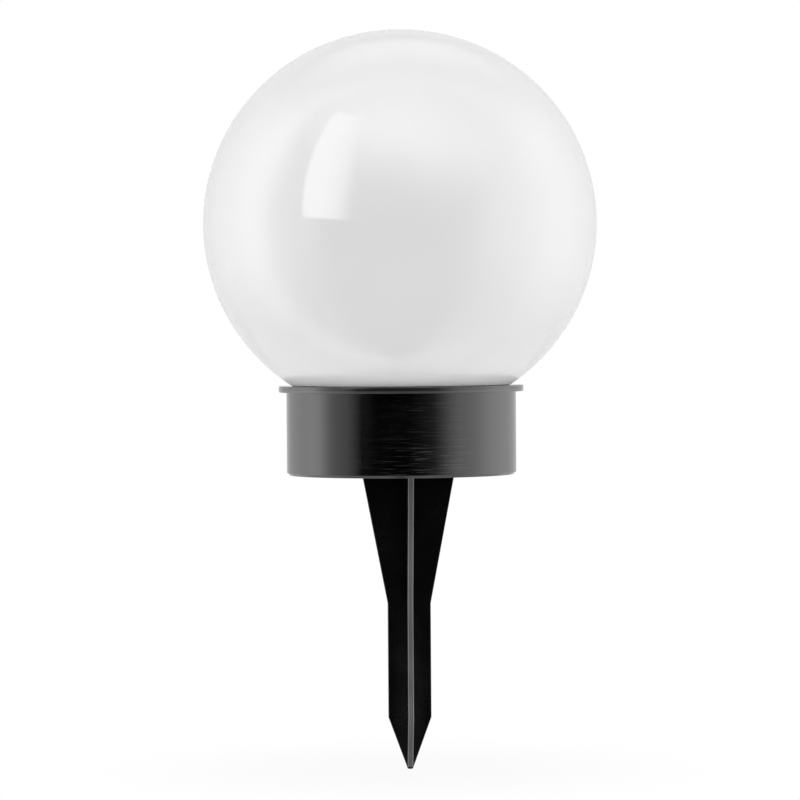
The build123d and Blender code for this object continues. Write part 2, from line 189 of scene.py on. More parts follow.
def makeMouldedGrain():  # moulded plastic: a fine grain and a slow change of tone
    tree, given, result = startGroup("Moulded grain", {"Scale": 2500.0}, ("Height", "Mottle"))
    place = restPlace(tree)
    tree.links.new(noise(tree, place, given["Scale"], detail=3.0, roughness=0.6), result["Height"])
    slow = doMath(tree, "MULTIPLY", given["Scale"], mouldedGrainLook["slowScale"])
    tone = noise(tree, place, slow, detail=4.0, roughness=0.6)
    tree.links.new(remap(tree, tone, *mouldedGrainLook["mottle"], 0.0, 1.0), result["Mottle"])
    return tree


wornEdgesLook = {
    "bend": (0.99, 0.80),  # cosines between the two normals where wear starts, and where it is full
    "broken": (0.35, 0.6),
    "leastLeft": 0.2,  # share of the wear where it is broken up
}


def makeWornEdges():  # rubbed corners, found from a rounded normal
    tree, given, result = startGroup("Worn edges", {"Radius": 0.6 * mm, "Breakup": 900.0}, ("Edge",))
    rounded = addNode(tree, "ShaderNodeBevel", samples=4)
    tree.links.new(given["Radius"], rounded.inputs["Radius"])
    flat = addNode(tree, "ShaderNodeNewGeometry").outputs["Normal"]
    match = doVector(tree, "DOT_PRODUCT", rounded.outputs["Normal"], flat)
    bend = remap(tree, match, *wornEdgesLook["bend"], 0.0, 1.0)
    patches = noise(tree, restPlace(tree), given["Breakup"], detail=3.0)
    broken = remap(tree, patches, *wornEdgesLook["broken"], wornEdgesLook["leastLeft"], 1.0)
    tree.links.new(doMath(tree, "MULTIPLY", bend, broken), result["Edge"])
    return tree


settledDustLook = {
    "facing": (0.5, 1.0),  # upward share of the normal where dust starts, and where it is full
    "specks": (0.45, 0.75),
}


def makeSettledDust():  # a little dust on what faces up
    tree, given, result = startGroup("Settled dust", {"Scale": 700.0}, ("Dust",))
    up = splitAxes(tree, restNormal(tree))[2]
    facing = remap(tree, up, *settledDustLook["facing"], 0.0, 1.0, smooth=True)
    powder = noise(tree, restPlace(tree), given["Scale"], detail=5.0, roughness=0.7)
    specks = remap(tree, powder, *settledDustLook["specks"], 0.0, 1.0)
    tree.links.new(doMath(tree, "MULTIPLY", facing, specks), result["Dust"])
    return tree


platedMetalLook = {
    "drawn": (0.15, 1.0, 1.0),  # scratches run along x
    "fineScale": 3.0,
    "scratch": (0.4, 0.7),
    "slowScale": 0.25,
    "tarnish": (0.45, 0.75),
}


def makePlatedMetal():  # hair scratches and a little tarnish
    tree, given, result = startGroup("Plated metal", {"Scale": 1200.0}, ("Scratch", "Tarnish"))
    place = restPlace(tree)
    drawn = doVector(tree, "MULTIPLY", place, platedMetalLook["drawn"])
    fine = doMath(tree, "MULTIPLY", given["Scale"], platedMetalLook["fineScale"])
    hair = noise(tree, drawn, fine, detail=3.0, roughness=0.7)
    tree.links.new(remap(tree, hair, *platedMetalLook["scratch"], 0.0, 1.0), result["Scratch"])
    slow = doMath(tree, "MULTIPLY", given["Scale"], platedMetalLook["slowScale"])
    bloom = noise(tree, place, slow, detail=4.0, roughness=0.6)
    tree.links.new(remap(tree, bloom, *platedMetalLook["tarnish"], 0.0, 1.0), result["Tarnish"])
    return tree


turnedLines = makeTurnedLines()
mouldedGrain = makeMouldedGrain()
wornEdges = makeWornEdges()
settledDust = makeSettledDust()
platedMetal = makePlatedMetal()
print("effects ready")


def addEffect(tree, group, **values):
    node = addNode(tree, "ShaderNodeGroup", node_tree=group)
    for name, value in values.items():
        node.inputs[name].default_value = value
    return node.outputs


def startMaterial(name, **sockets):
    material = bpy.data.materials.new(name)
    material.use_nodes = True
    tree = material.node_tree
    shader = tree.nodes["Principled BSDF"]
    for socketName, value in sockets.items():
        shader.inputs[socketName.replace("_", " ")].default_value = value
    return material, tree, shader.inputs


def dress(material, *names):
    for name in names:
        cadNodes[name].data.materials.clear()
        cadNodes[name].data.materials.append(material)


# Globe: glossy opal plastic

globeLook = {
    "colour": (0.935, 0.935, 0.936, 1.0),
    "shade": (0.920, 0.921, 0.924, 1.0),
    "roughness": (0.05, 0.08),
    "footRoughness": 0.40,  # duller towards the foot
    "footHeight": 13 * mm,
    "neckDepth": 12 * mm,
    "grain": 900.0,
    "ripple": 0.004 * mm,  # depth of the moulding's slow ripple
    "scatter": 16 * mm,  # how far light spreads in the opal
}


def makeOpal():
    material, tree, shader = startMaterial(
        "opal_plastic", IOR=1.85, Subsurface_Weight=1.0, Subsurface_Scale=globeLook["scatter"],
        Subsurface_Radius=(1.0, 1.0, 1.0))
    grain = addEffect(tree, mouldedGrain, Scale=globeLook["grain"])
    toned = mixColours(tree, grain["Mottle"], globeLook["colour"], globeLook["shade"])
    feed(tree, shader["Base Color"], toned)
    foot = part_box("globe")[0].z + globeLook["neckDepth"]
    polished = remap(tree, grain["Mottle"], 0.0, 1.0, *globeLook["roughness"])
    z = splitAxes(tree, restPlace(tree))[2]
    dulled = remap(tree, z, foot, foot + globeLook["footHeight"], globeLook["footRoughness"], polished)
    feed(tree, shader["Roughness"], dulled)
    feed(tree, shader["Normal"], bump(tree, grain["Mottle"], globeLook["ripple"]))
    return material


dress(makeOpal(), "globe")
print("globe dressed")


# Base: satin black with fine turned lines, painted highlight streaks on the front and a painted highlight
# along the flange's lower edge

baseLook = {
    "colour": (0.0006, 0.0006, 0.0007, 1.0),
    "line": (0.0042, 0.0042, 0.0043, 1.0),  # along a turned line
    "flange": (0.019, 0.019, 0.0194, 1.0),
    "flangeThickness": 2.5 * mm,
    "flangeEdgeHighlight": (0.068, 0.068, 0.069, 1.0),  # painted highlight along its lower edge, where the rounding catches light
    "flangeHighlightHeight": 0.95 * mm,
    "streakHighlightAndGloss": (0.12, 0.12, 0.121, 1.0),  # painted highlight along a streak, standing in for light caught by the brushing
    "highlightFacing": (0.20, -0.98, 0.0),  # the side where the streak highlights are painted, towards the front
    "highlightSpread": (0.90, 0.985),  # cosines of its outer and inner edge
    "highlightElsewhere": 0.08,
    "highlightLow": (4 * mm, 17 * mm, 1.7, 0.45),  # height from, to, and the share at each
    "worn": (0.026, 0.026, 0.0265, 1.0),
    "wornFlange": (0.10, 0.10, 0.102, 1.0),
    "dust": (0.05, 0.05, 0.048, 1.0),
    "dustShare": 0.15,
    "roughness": (0.085, 0.12),  # plain, and on a streak
    "rimRoughness": 0.05,  # smoother where it faces up
    "rimFacing": (0.6, 0.95),  # upward share of the normal, from and to
    "around": 55.0,  # of the turned lines, per metre
    "along": 4200.0,
    "lineDepth": 0.0013 * mm,
    "edgeRadius": 0.5 * mm,
}


def makeSatinBlack():
    material, tree, shader = startMaterial(
        "satin_black", IOR=1.72, Anisotropic=0.7, Anisotropic_Rotation=0.25)
    lines = addEffect(tree, turnedLines, Around=baseLook["around"], Along=baseLook["along"])
    edge = addEffect(tree, wornEdges, Radius=baseLook["edgeRadius"])["Edge"]
    dust = doMath(tree, "MULTIPLY", addEffect(tree, settledDust)["Dust"], baseLook["dustShare"])
    low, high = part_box("base_housing")
    z = splitAxes(tree, restPlace(tree))[2]
    flangeLow = high.z - baseLook["flangeThickness"]
    onFlange = doMath(tree, "GREATER_THAN", z, flangeLow)
    # painted highlight streaks: a lighter colour on the streaks that face the front, with more of them low
    # down
    facing = doVector(tree, "DOT_PRODUCT", restNormal(tree), baseLook["highlightFacing"])
    highlightSide = remap(tree, facing, *baseLook["highlightSpread"], baseLook["highlightElsewhere"], 1.0)
    fromLow, fromHigh, lowShare, highShare = baseLook["highlightLow"]
    highlightHeight = remap(tree, z, low.z + fromLow, low.z + fromHigh, lowShare, highShare)
    streak = doMath(tree, "MULTIPLY", lines["Streak"], doMath(tree, "MULTIPLY", highlightSide, highlightHeight))
    turned = mixColours(tree, lines["Line"], baseLook["colour"], baseLook["line"])
    withStreakHighlights = mixColours(tree, streak, turned, baseLook["streakHighlightAndGloss"])
    # painted highlight: a lighter band along the flange's lower edge
    onFlangeHighlight = doMath(tree, "LESS_THAN", z, flangeLow + baseLook["flangeHighlightHeight"])
    flange = mixColours(tree, onFlangeHighlight, baseLook["flange"], baseLook["flangeEdgeHighlight"])
    plain = mixColours(tree, onFlange, withStreakHighlights, flange)
    bare = mixColours(tree, onFlange, baseLook["worn"], baseLook["wornFlange"])
    worn = mixColours(tree, edge, plain, bare)
    feed(tree, shader["Base Color"], mixColours(tree, dust, worn, baseLook["dust"]))
    facingUp = remap(tree, splitAxes(tree, restNormal(tree))[2], *baseLook["rimFacing"], 0.0, 1.0)
    streakHighlightAndGloss = remap(tree, lines["Streak"], 0.0, 1.0, *baseLook["roughness"])
    feed(tree, shader["Roughness"], remap(tree, facingUp, 0.0, 1.0, streakHighlightAndGloss, baseLook["rimRoughness"]))
    feed(tree, shader["Normal"], bump(tree, lines["Height"], baseLook["lineDepth"]))
    tangent = addNode(tree, "ShaderNodeTangent", direction_type="RADIAL", axis="Z")
    feed(tree, shader["Tangent"], tangent.outputs["Tangent"])
    return material


dress(makeSatinBlack(), "base_housing")
print("base dressed")


# Spike: black moulding with paler rims and lighter rim corners as painted highlights, and a painted
# reflection low on the flanks

spikeLook = {
    "flank": (0.0018, 0.0018, 0.0018, 1.0),
    # rim: a blade's outer edge painted paler as a highlight
    "rim": (0.180, 0.180, 0.184, 1.0),
    "rimHighlightLine": (0.410, 0.410, 0.418, 1.0),  # painted highlight along both corners of a rim
    "lineFrom": 0.78 * mm,  # from the middle of a rim
    "rimFacing": (0.9, 0.4),  # sideways share of the normal where the flank ends and the rim starts
    "rimHighlightPatchy": (0.7, 1.0),
    "flankReflection": (0.016, 0.016, 0.0155, 1.0),  # painted reflection, low down, beside the crossing of the blades
    "flankReflectionHigh": (-45 * mm, -75 * mm),  # where the painted reflection starts, and where it is full
    "flankReflectionWide": (6.5 * mm, 1.5 * mm),  # the same, measured from the crossing
    "flankReflectionPatchy": (0.5, 1.0),
    "roughness": (0.20, 0.30),
    "rimRoughness": 0.30,
    "halfBlade": 1.2 * mm,  # a little over half a blade's thickness
    "offset": 2.5 * mm,  # spike axis beside the base's axis
    "grain": 3000.0,
    "grainDepth": 0.004 * mm,
}


def makeSpikeBlack():
    material, tree, shader = startMaterial("spike_black_moulding", IOR=1.5)
    grain = addEffect(tree, mouldedGrain, Scale=spikeLook["grain"])
    x, y, z = splitAxes(tree, restPlace(tree))
    normalX, normalY = splitAxes(tree, restNormal(tree))[:2]
    onSide = farFrom(tree, x, spikeLook["offset"], spikeLook["halfBlade"])
    onFront = farFrom(tree, y, 0.0, spikeLook["halfBlade"])
    offFlankY = remap(tree, doMath(tree, "ABSOLUTE", normalY), *spikeLook["rimFacing"], 0.0, 1.0)
    offFlankX = remap(tree, doMath(tree, "ABSOLUTE", normalX), *spikeLook["rimFacing"], 0.0, 1.0)
    sideRim = doMath(tree, "MULTIPLY", onSide, offFlankY)
    frontRim = doMath(tree, "MULTIPLY", onFront, offFlankX)
    rim = doMath(tree, "MAXIMUM", sideRim, frontRim)
    # painted highlight on the rims, broken up by the grain
    patchyRimHighlight = doMath(tree, "MULTIPLY", rim, remap(tree, grain["Mottle"], 0.0, 1.0, *spikeLook["rimHighlightPatchy"]))
    cornerY = farFrom(tree, y, 0.0, spikeLook["lineFrom"])
    cornerX = farFrom(tree, x, spikeLook["offset"], spikeLook["lineFrom"])
    sideLine = doMath(tree, "MULTIPLY", sideRim, cornerY)
    frontLine = doMath(tree, "MULTIPLY", frontRim, cornerX)
    corners = doMath(tree, "MAXIMUM", sideLine, frontLine)
    paintedRimHighlight = mixColours(tree, corners, spikeLook["rim"], spikeLook["rimHighlightLine"])
    # painted reflection: a faint grey on the flanks beside the crossing, low down
    aside = doMath(tree, "ABSOLUTE", doMath(tree, "SUBTRACT", x, spikeLook["offset"]))
    lowDown = remap(tree, z, *spikeLook["flankReflectionHigh"], 0.0, 1.0)
    nearCrossing = remap(tree, aside, *spikeLook["flankReflectionWide"], 0.0, 1.0)
    reflectionPlace = doMath(tree, "MULTIPLY", lowDown, nearCrossing)
    patches = remap(tree, grain["Mottle"], 0.0, 1.0, *spikeLook["flankReflectionPatchy"])
    paintedReflection = doMath(tree, "MULTIPLY", reflectionPlace, patches)
    flank = mixColours(tree, paintedReflection, spikeLook["flank"], spikeLook["flankReflection"])
    feed(tree, shader["Base Color"], mixColours(tree, patchyRimHighlight, flank, paintedRimHighlight))
    gloss = remap(tree, grain["Mottle"], 0.0, 1.0, *spikeLook["roughness"])
    feed(tree, shader["Roughness"], remap(tree, rim, 0.0, 1.0, gloss, spikeLook["rimRoughness"]))
    feed(tree, shader["Normal"], bump(tree, grain["Height"], spikeLook["grainDepth"]))
    return material


dress(makeSpikeBlack(), "spike")
print("spike dressed")


# Plain mouldings: deck, battery door and holder, switch knob, seals and the leads' insulation

def makeMoulding(name, look):
    material, tree, shader = startMaterial(name, IOR=1.5)
    grain = addEffect(tree, mouldedGrain, Scale=look["grain"])
    edge = addEffect(tree, wornEdges, Radius=look["edgeRadius"])["Edge"]
    toned = mixColours(tree, grain["Mottle"], look["colour"], look["shade"])
    feed(tree, shader["Base Color"], mixColours(tree, edge, toned, look["worn"]))
    feed(tree, shader["Roughness"], remap(tree, grain["Mottle"], 0.0, 1.0, *look["roughness"]))
    feed(tree, shader["Normal"], bump(tree, grain["Height"], look["grainDepth"]))
    return material


deckLook = {
    "colour": (0.022, 0.022, 0.023, 1.0),
    "shade": (0.032, 0.032, 0.033, 1.0),
    "worn": (0.075, 0.075, 0.076, 1.0),
    "roughness": (0.45, 0.60),
    "grain": 2200.0,
    "grainDepth": 0.02 * mm,
    "edgeRadius": 0.4 * mm,
}

doorLook = {
    "colour": (0.010, 0.010, 0.0105, 1.0),
    "shade": (0.016, 0.016, 0.0165, 1.0),
    "worn": (0.060, 0.060, 0.061, 1.0),
    "roughness": (0.34, 0.48),
    "grain": 2600.0,
    "grainDepth": 0.015 * mm,
    "edgeRadius": 0.3 * mm,
}

holderLook = {
    "colour": (0.020, 0.020, 0.020, 1.0),
    "shade": (0.027, 0.027, 0.028, 1.0),
    "worn": (0.060, 0.060, 0.060, 1.0),
    "roughness": (0.40, 0.55),
    "grain": 1800.0,
    "grainDepth": 0.012 * mm,
    "edgeRadius": 0.3 * mm,
}

knobLook = {
    "colour": (0.80, 0.80, 0.78, 1.0),
    "shade": (0.73, 0.73, 0.70, 1.0),
    "worn": (0.60, 0.59, 0.56, 1.0),
    "roughness": (0.35, 0.45),
    "grain": 4000.0,
    "grainDepth": 0.006 * mm,
    "edgeRadius": 0.25 * mm,
}

sealLook = {
    "colour": (0.024, 0.024, 0.024, 1.0),
    "shade": (0.038, 0.038, 0.037, 1.0),
    "worn": (0.055, 0.055, 0.053, 1.0),
    "roughness": (0.70, 0.85),
    "grain": 5000.0,
    "grainDepth": 0.012 * mm,
    "edgeRadius": 0.2 * mm,
}

redLeadLook = {
    "colour": (0.50, 0.030, 0.025, 1.0),
    "shade": (0.40, 0.022, 0.018, 1.0),
    "worn": (0.55, 0.10, 0.08, 1.0),
    "roughness": (0.38, 0.50),
    "grain": 6000.0,
    "grainDepth": 0.004 * mm,
    "edgeRadius": 0.1 * mm,
}

blackLeadLook = {
    "colour": (0.018, 0.018, 0.018, 1.0),
    "shade": (0.026, 0.026, 0.026, 1.0),
    "worn": (0.060, 0.060, 0.060, 1.0),
    "roughness": (0.38, 0.50),
    "grain": 6000.0,
    "grainDepth": 0.004 * mm,
    "edgeRadius": 0.1 * mm,
}

dress(makeMoulding("deck_moulding", deckLook), "module_deck")
dress(makeMoulding("door_moulding", doorLook), "battery_door")
dress(makeMoulding("holder_moulding", holderLook), "battery_holder")
dress(makeMoulding("knob_plastic", knobLook), "switch_knob")
dress(makeMoulding("seal_rubber", sealLook), "globe_seal", "door_seal")
dress(makeMoulding("red_insulation", redLeadLook), "battery_lead_positive", "panel_lead_positive")
dress(makeMoulding("black_insulation", blackLeadLook), "battery_lead_negative", "panel_lead_negative")
print("mouldings dressed")


# Plated metal: contacts and spring, lamp legs, screws, the switch's shell

def makePlated(name, look):
    material, tree, shader = startMaterial(name, Metallic=1.0)
    plating = addEffect(tree, platedMetal, Scale=look["scale"])
    feed(tree, shader["Base Color"], mixColours(tree, plating["Tarnish"], look["colour"], look["tarnish"]))
    feed(tree, shader["Roughness"], remap(tree, plating["Scratch"], 0.0, 1.0, *look["roughness"]))
    feed(tree, shader["Normal"], bump(tree, plating["Scratch"], look["scratchDepth"]))
    return material


contactLook = {
    "colour": (0.68, 0.67, 0.64, 1.0),
    "tarnish": (0.52, 0.50, 0.46, 1.0),
    "roughness": (0.20, 0.34),
    "scale": 1400.0,
    "scratchDepth": 0.002 * mm,
}

screwLook = {
    "colour": (0.60, 0.60, 0.61, 1.0),
    "tarnish": (0.47, 0.47, 0.50, 1.0),
    "roughness": (0.25, 0.40),
    "scale": 1800.0,
    "scratchDepth": 0.003 * mm,
}

shellLook = {
    "colour": (0.62, 0.62, 0.61, 1.0),
    "tarnish": (0.50, 0.49, 0.47, 1.0),
    "roughness": (0.28, 0.42),
    "scale": 1600.0,
    "scratchDepth": 0.003 * mm,
}

dress(makePlated("nickel_plate", contactLook),
      "battery_spring", "spring_plate", "positive_contact", "led_leads")
dress(makePlated("zinc_plate", screwLook), "deck_screws")
dress(makePlated("steel_shell", shellLook), "switch_body")
print("metal dressed")


# Solar panel: white laminate, silicon strips with printed silver lines, clear resin on top

laminateLook = {
    "colour": (0.85, 0.85, 0.83, 1.0),
    "shade": (0.78, 0.78, 0.74, 1.0),
    "pitch": 0.9 * mm,  # of the glass cloth
    "threadShare": 0.5,
    "grain": 1500.0,
    "roughness": (0.45, 0.60),
    "clothDepth": 0.02 * mm,
}


def makeLaminate():
    material, tree, shader = startMaterial("panel_laminate", IOR=1.5)
    x, y = splitAxes(tree, restPlace(tree))[:2]
    over = lineMask(tree, x, laminateLook["pitch"], laminateLook["threadShare"])
    under = lineMask(tree, y, laminateLook["pitch"], laminateLook["threadShare"])
    cloth = doMath(tree, "ABSOLUTE", doMath(tree, "SUBTRACT", over, under))
    mottle = addEffect(tree, mouldedGrain, Scale=laminateLook["grain"])["Mottle"]
    tone = doMath(tree, "MULTIPLY", doMath(tree, "ADD", cloth, mottle), 0.5)  # their mean
    feed(tree, shader["Base Color"], mixColours(tree, tone, laminateLook["colour"], laminateLook["shade"]))
    feed(tree, shader["Roughness"], remap(tree, tone, 0.0, 1.0, *laminateLook["roughness"]))
    feed(tree, shader["Normal"], bump(tree, cloth, laminateLook["clothDepth"]))
    return material


siliconLook = {
    "colour": (0.010, 0.017, 0.050, 1.0),
    "crystal": (0.016, 0.030, 0.085, 1.0),
    "silver": (0.62, 0.62, 0.60, 1.0),
    "crystalScale": 420.0,
    "fingerPitch": 1.6 * mm,
    "fingerShare": 0.09,
    "busHalf": 0.35 * mm,
    "strips": 6,
    "stripGap": 0.8 * mm,
    "roughness": (0.22, 0.40),
}


def makeSilicon():
    material, tree, shader = startMaterial("silicon_strips", IOR=1.5)
    x, y = splitAxes(tree, restPlace(tree))[:2]
    crystals = addNode(tree, "ShaderNodeTexVoronoi")
    feed(tree, crystals.inputs["Vector"], restPlace(tree))
    crystals.inputs["Scale"].default_value = siliconLook["crystalScale"]
    flake = splitAxes(tree, crystals.outputs["Color"])[0]
    low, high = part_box("solar_cells")
    pitch = (high.x - low.x + siliconLook["stripGap"]) / siliconLook["strips"]
    strips = doMath(tree, "DIVIDE", doMath(tree, "SUBTRACT", x, low.x), pitch)
    across = doMath(tree, "MULTIPLY", doMath(tree, "FRACT", strips), pitch)
    middle = (pitch - siliconLook["stripGap"]) / 2
    bus = doMath(tree, "SUBTRACT", 1.0, farFrom(tree, across, middle, siliconLook["busHalf"]))
    fingers = lineMask(tree, y, siliconLook["fingerPitch"], siliconLook["fingerShare"])
    printed = doMath(tree, "MAXIMUM", bus, fingers)
    dark = mixColours(tree, flake, siliconLook["colour"], siliconLook["crystal"])
    feed(tree, shader["Base Color"], mixColours(tree, printed, dark, siliconLook["silver"]))
    feed(tree, shader["Roughness"], remap(tree, printed, 0.0, 1.0, *siliconLook["roughness"]))
    feed(tree, shader["Metallic"], printed)
    return material


windowLook = {
    "colour": (0.94, 0.96, 0.97, 1.0),
    "shade": (0.91, 0.94, 0.95, 1.0),
    "roughness": (0.03, 0.12),
    "scale": 1000.0,
}


def makeResin():
    material, tree, shader = startMaterial("panel_resin", IOR=1.5, Transmission_Weight=1.0)
    hair = addEffect(tree, platedMetal, Scale=windowLook["scale"])
    toned = mixColours(tree, hair["Tarnish"], windowLook["colour"], windowLook["shade"])
    feed(tree, shader["Base Color"], toned)
    feed(tree, shader["Roughness"], remap(tree, hair["Scratch"], 0.0, 1.0, *windowLook["roughness"]))
    return material


dress(makeLaminate(), "solar_backing")
dress(makeSilicon(), "solar_cells")
dress(makeResin(), "solar_window")
print("solar panel dressed")


# Lamps: clear epoxy, milky yellow round the chip in the foot

lensLook = {
    "clear": (0.97, 0.97, 0.94, 1.0),
    "phosphor": (0.95, 0.80, 0.30, 1.0),
    "phosphorHigh": 0.45,  # share of the lamp's height where the yellow ends
    "phosphorPatchy": (0.8, 1.0),
    "grain": 3000.0,
    "roughness": (0.04, 0.16),
}


def makeLens():
    material, tree, shader = startMaterial("lamp_epoxy", IOR=1.53, Transmission_Weight=0.85)
    low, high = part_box("led_front")
    z = splitAxes(tree, restPlace(tree))[2]
    yellowTop = low.z + (high.z - low.z) * lensLook["phosphorHigh"]
    up = remap(tree, z, low.z, yellowTop, 1.0, 0.0, smooth=True)
    mottle = addEffect(tree, mouldedGrain, Scale=lensLook["grain"])["Mottle"]
    yellow = doMath(tree, "MULTIPLY", up, remap(tree, mottle, 0.0, 1.0, *lensLook["phosphorPatchy"]))
    feed(tree, shader["Base Color"], mixColours(tree, yellow, lensLook["clear"], lensLook["phosphor"]))
    feed(tree, shader["Roughness"], remap(tree, yellow, 0.0, 1.0, *lensLook["roughness"]))
    return material


dress(makeLens(), "led_front", "led_right", "led_rear", "led_left")
print("lamps dressed")


# Driver board and what is soldered to it

boardLook = {
    "resist": (0.022, 0.135, 0.055, 1.0),
    "trace": (0.045, 0.210, 0.085, 1.0),
    "tracePitch": 2.6 * mm,
    "rowHeight": 0.25,  # of the pattern's rows before it is scaled
    "traceWidth": 0.018,
    "traceSoft": 0.1,
    "shadeShare": 0.25,
    "grain": 2200.0,
    "roughness": (0.26, 0.36),
    "traceDepth": 0.03 * mm,
}


def makeBoard():
    material, tree, shader = startMaterial("board_resist", IOR=1.5)
    tracks = addNode(tree, "ShaderNodeTexBrick", offset=0.5, squash=0.6, squash_frequency=3)
    feed(tree, tracks.inputs["Vector"], restPlace(tree))
    tracks.inputs["Scale"].default_value = boardLook["rowHeight"] / boardLook["tracePitch"]
    tracks.inputs["Mortar Size"].default_value = boardLook["traceWidth"]
    tracks.inputs["Mortar Smooth"].default_value = boardLook["traceSoft"]
    trace = tracks.outputs["Fac"]
    mottle = addEffect(tree, mouldedGrain, Scale=boardLook["grain"])["Mottle"]
    tone = mixColours(tree, trace, boardLook["resist"], boardLook["trace"])
    shaded = doMath(tree, "MULTIPLY", mottle, boardLook["shadeShare"])
    feed(tree, shader["Base Color"], mixColours(tree, shaded, tone, boardLook["resist"]))
    feed(tree, shader["Roughness"], remap(tree, mottle, 0.0, 1.0, *boardLook["roughness"]))
    feed(tree, shader["Normal"], bump(tree, trace, boardLook["traceDepth"]))
    return material


chipLook = {
    "body": (0.018, 0.018, 0.018, 1.0),
    "shade": (0.028, 0.028, 0.028, 1.0),
    "pins": (0.62, 0.61, 0.58, 1.0),
    "bodyHalf": 2.02 * mm,
    "roughness": (0.55, 0.30),  # body, pins
    "grain": 6000.0,
    "grainDepth": 0.006 * mm,
}


def makeChip():
    material, tree, shader = startMaterial("chip_package", IOR=1.5)
    grain = addEffect(tree, mouldedGrain, Scale=chipLook["grain"])
    y = splitAxes(tree, restPlace(tree))[1]
    pins = farFrom(tree, y, middleOf("driver_chip").y, chipLook["bodyHalf"])
    body = mixColours(tree, grain["Mottle"], chipLook["body"], chipLook["shade"])
    feed(tree, shader["Base Color"], mixColours(tree, pins, body, chipLook["pins"]))
    feed(tree, shader["Metallic"], pins)
    feed(tree, shader["Roughness"], remap(tree, pins, 0.0, 1.0, *chipLook["roughness"]))
    feed(tree, shader["Normal"], bump(tree, grain["Height"], chipLook["grainDepth"]))
    return material


inductorLook = {
    "coat": (0.09, 0.28, 0.13, 1.0),
    "shade": (0.06, 0.21, 0.10, 1.0),
    "rings": [  # place along the body, colour
        (-2.4 * mm, (0.12, 0.045, 0.02, 1.0)),
        (-0.9 * mm, (0.015, 0.015, 0.015, 1.0)),
        (0.6 * mm, (0.30, 0.03, 0.02, 1.0)),
        (2.4 * mm, (0.45, 0.36, 0.14, 1.0)),
    ],
    "ringHalf": 0.4 * mm,
    "grain": 3500.0,
    "roughness": (0.22, 0.34),
}


def makeCoil():
    material, tree, shader = startMaterial("coil_coat", IOR=1.5)
    mottle = addEffect(tree, mouldedGrain, Scale=inductorLook["grain"])["Mottle"]
    x = splitAxes(tree, restPlace(tree))[0]
    middle = middleOf("inductor").x
    tone = mixColours(tree, mottle, inductorLook["coat"], inductorLook["shade"])
    for along, colour in inductorLook["rings"]:
        plain = farFrom(tree, x, middle + along, inductorLook["ringHalf"])
        tone = mixColours(tree, plain, colour, tone)
    feed(tree, shader["Base Color"], tone)
    feed(tree, shader["Roughness"], remap(tree, mottle, 0.0, 1.0, *inductorLook["roughness"]))
    return material


capacitorLook = {
    "sleeve": (0.045, 0.075, 0.21, 1.0),
    "shade": (0.032, 0.055, 0.16, 1.0),
    "stripe": (0.52, 0.55, 0.62, 1.0),
    "can": (0.66, 0.66, 0.67, 1.0),
    "topDrop": 0.15 * mm,
    "topRadius": 1.5 * mm,
    "ventHalf": 0.09 * mm,
    "ventDepth": 0.08 * mm,
    "stripeFrom": 1.5 * mm,
    "roughness": (0.28, 0.36),
    "grain": 3500.0,
}


def makeCan():
    material, tree, shader = startMaterial("capacitor_can", IOR=1.5)
    mottle = addEffect(tree, mouldedGrain, Scale=capacitorLook["grain"])["Mottle"]
    x, y, z = splitAxes(tree, restPlace(tree))
    middle = middleOf("capacitor")
    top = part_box("capacitor")[1].z
    fromTop = doVector(tree, "SUBTRACT", restPlace(tree), (middle.x, middle.y, top))
    spread = doVector(tree, "LENGTH", fromTop)
    onTop = doMath(tree, "GREATER_THAN", z, top - capacitorLook["topDrop"])
    metal = doMath(tree, "MULTIPLY", onTop, doMath(tree, "LESS_THAN", spread, capacitorLook["topRadius"]))
    stripe = doMath(tree, "LESS_THAN", x, middle.x - capacitorLook["stripeFrom"])
    sleeve = mixColours(tree, mottle, capacitorLook["sleeve"], capacitorLook["shade"])
    marked = mixColours(tree, stripe, sleeve, capacitorLook["stripe"])
    feed(tree, shader["Base Color"], mixColours(tree, metal, marked, capacitorLook["can"]))
    feed(tree, shader["Metallic"], metal)
    feed(tree, shader["Roughness"], remap(tree, mottle, 0.0, 1.0, *capacitorLook["roughness"]))
    offVent = doMath(tree, "MINIMUM", farFrom(tree, x, middle.x, capacitorLook["ventHalf"]),
                     farFrom(tree, y, middle.y, capacitorLook["ventHalf"]))
    flat = doMath(tree, "MAXIMUM", offVent, doMath(tree, "SUBTRACT", 1.0, metal))
    feed(tree, shader["Normal"], bump(tree, flat, capacitorLook["ventDepth"]))
    return material


dress(makeBoard(), "driver_board")
dress(makeChip(), "driver_chip")
dress(makeCoil(), "inductor")
dress(makeCan(), "capacitor")
print("board dressed")


# Battery cell: shrink sleeve between bare metal ends

cellLook = {
    "sleeve": (0.070, 0.270, 0.125, 1.0),
    "shade": (0.052, 0.215, 0.100, 1.0),
    "band": (0.55, 0.57, 0.56, 1.0),
    "ends": (0.66, 0.65, 0.63, 1.0),
    "endsAt": (-19.3 * mm, 23.2 * mm),  # along the cell, the sleeve between them
    "bandAt": (11.5 * mm, 17.0 * mm),
    "axis": (math.sqrt(0.5), -math.sqrt(0.5), 0.0),
    "roughness": (0.22, 0.30),
    "scratches": 1500.0,
    "grain": 1800.0,
    "sleeveDepth": 0.01 * mm,
}


